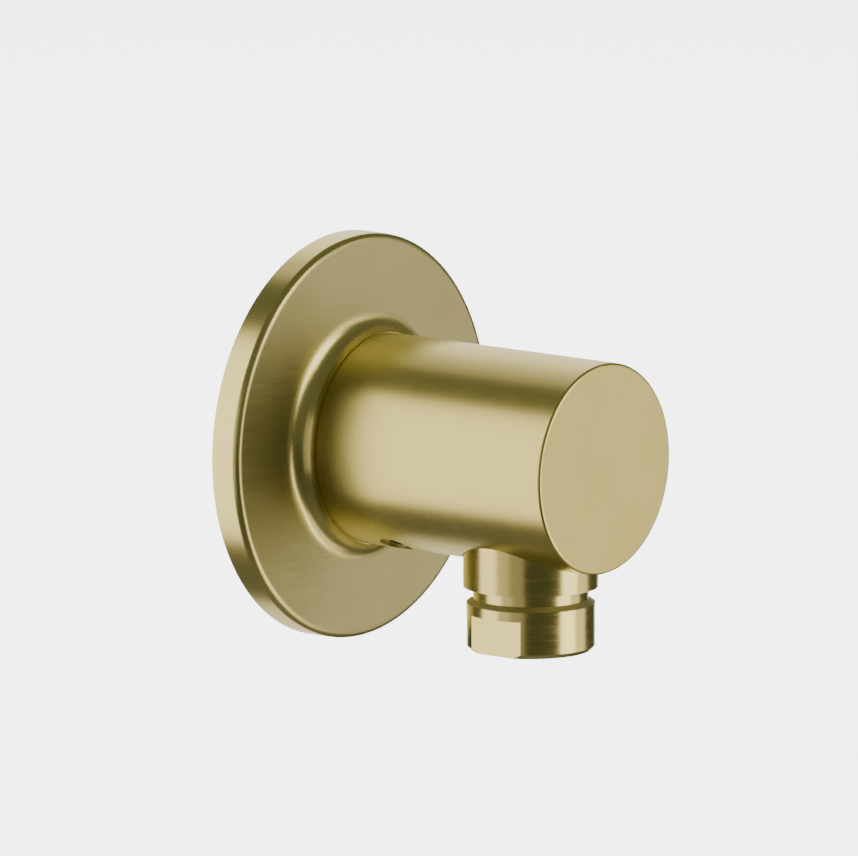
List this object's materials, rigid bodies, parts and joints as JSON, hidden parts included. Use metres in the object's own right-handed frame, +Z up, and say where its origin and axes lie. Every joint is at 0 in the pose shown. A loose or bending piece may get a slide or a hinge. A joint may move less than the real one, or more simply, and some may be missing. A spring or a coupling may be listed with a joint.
{
  "type": "wall outlet elbow",
  "caption": "Brushed brass wall outlet elbow: a round wall flange, a straight round body and a threaded hose outlet below with a sprung check valve inside.",
  "frame": {"origin": "on the axis of the body and the wall nipple, at the plane of the flange's back face, which lies on the wall", "axes": "+Y goes into the wall along the nipple, -Y leaves the wall along the body, +Z is up, +X is to the right seen from the front; the hose outlet points down along -Z"},
  "size_m": [0.0664, 0.0679, 0.0664],
  "materials": {
    "brushed_brass": "brushed",
    "turned_brass": "turned",
    "plain_brass": "turned",
    "seal_rubber": "matte",
    "screw_steel": "satin",
    "valve_plastic": "moulded",
    "poppet_plastic": "moulded"
  },
  "bodies": {
    "fitting": {"wall_flange": "brushed_brass", "wall_gasket": "seal_rubber", "wall_nipple": "plain_brass", "nipple_o_ring_rear": "seal_rubber", "nipple_o_ring_front": "seal_rubber", "elbow_body": "brushed_brass", "locking_screw": "screw_steel", "hose_outlet": "turned_brass", "outlet_o_ring": "seal_rubber", "check_valve_cage": "valve_plastic", "check_valve_guide": "valve_plastic", "check_valve_o_ring": "seal_rubber", "check_valve_spring": "screw_steel"},
    "poppet": {"check_valve_poppet": "poppet_plastic", "check_valve_face_seal": "seal_rubber"}
  },
  "joints": [
    {"name": "poppet_slide", "type": "slide", "parent": "fitting", "child": "poppet", "axis": [0, 0, -1], "range_m": [0, 0.002], "stiffness_N_per_m": 60, "springref_m": -0.004, "deforming": ["check_valve_spring"]}
  ]
}
